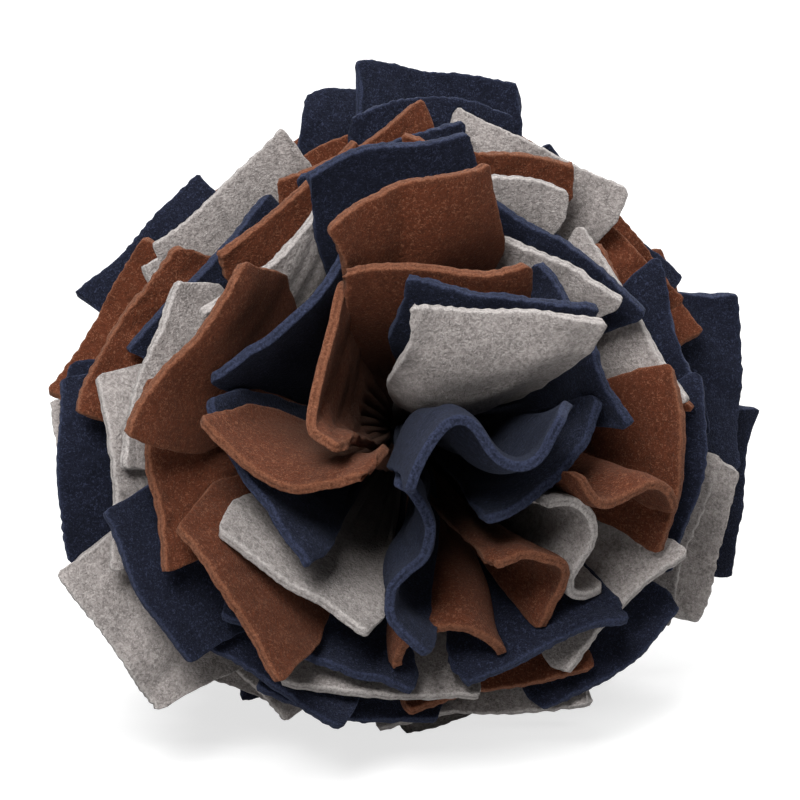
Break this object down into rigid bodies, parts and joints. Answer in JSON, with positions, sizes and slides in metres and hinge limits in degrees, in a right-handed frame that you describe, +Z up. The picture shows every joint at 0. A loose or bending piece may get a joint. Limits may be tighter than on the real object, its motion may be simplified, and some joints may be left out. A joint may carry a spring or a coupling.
{
  "type": "snuffle ball",
  "caption": "Pompom-like snuffle ball of fleece strips in navy, rust brown and grey, gathered at the middle by one tie, for hiding dry treats between the strips.",
  "frame": {"origin": "on the floor, under the middle of the ball's bounding box", "axes": "+Z up from the floor it rests on, -Y toward the viewer, where the front ends of the strips fan out, +X to the viewer's right"},
  "size_m": [0.1948, 0.2068, 0.1754],
  "materials": {
    "navy_fleece": "matte",
    "brown_fleece": "matte",
    "grey_fleece": "matte",
    "black_nylon": "satin"
  },
  "bodies": {
    "root": {"brown_strip_01": "brown_fleece", "brown_strip_02": "brown_fleece", "brown_strip_03": "brown_fleece", "brown_strip_04": "brown_fleece", "brown_strip_05": "brown_fleece", "brown_strip_06": "brown_fleece", "brown_strip_07": "brown_fleece", "brown_strip_08": "brown_fleece", "brown_strip_09": "brown_fleece", "brown_strip_10": "brown_fleece", "brown_strip_11": "brown_fleece", "brown_strip_12": "brown_fleece", "brown_strip_13": "brown_fleece", "brown_strip_14": "brown_fleece", "brown_strip_15": "brown_fleece", "brown_strip_16": "brown_fleece", "brown_strip_17": "brown_fleece", "brown_strip_18": "brown_fleece", "grey_strip_01": "grey_fleece", "grey_strip_02": "grey_fleece", "grey_strip_03": "grey_fleece", "grey_strip_04": "grey_fleece", "grey_strip_05": "grey_fleece", "grey_strip_06": "grey_fleece", "grey_strip_07": "grey_fleece", "grey_strip_08": "grey_fleece", "grey_strip_09": "grey_fleece", "grey_strip_10": "grey_fleece", "grey_strip_11": "grey_fleece", "grey_strip_12": "grey_fleece", "grey_strip_13": "grey_fleece", "grey_strip_14": "grey_fleece", "grey_strip_15": "grey_fleece", "grey_strip_16": "grey_fleece", "grey_strip_17": "grey_fleece", "navy_strip_01": "navy_fleece", "navy_strip_02": "navy_fleece", "navy_strip_03": "navy_fleece", "navy_strip_04": "navy_fleece", "navy_strip_05": "navy_fleece", "navy_strip_06": "navy_fleece", "navy_strip_07": "navy_fleece", "navy_strip_08": "navy_fleece", "navy_strip_09": "navy_fleece", "navy_strip_10": "navy_fleece", "navy_strip_11": "navy_fleece", "navy_strip_12": "navy_fleece", "navy_strip_13": "navy_fleece", "navy_strip_14": "navy_fleece", "navy_strip_15": "navy_fleece", "navy_strip_16": "navy_fleece", "navy_strip_17": "navy_fleece", "navy_strip_18": "navy_fleece", "navy_strip_19": "navy_fleece", "navy_strip_20": "navy_fleece", "navy_strip_21": "navy_fleece", "navy_strip_22": "navy_fleece", "waist_tie": "black_nylon"}
  },
  "joints": []
}
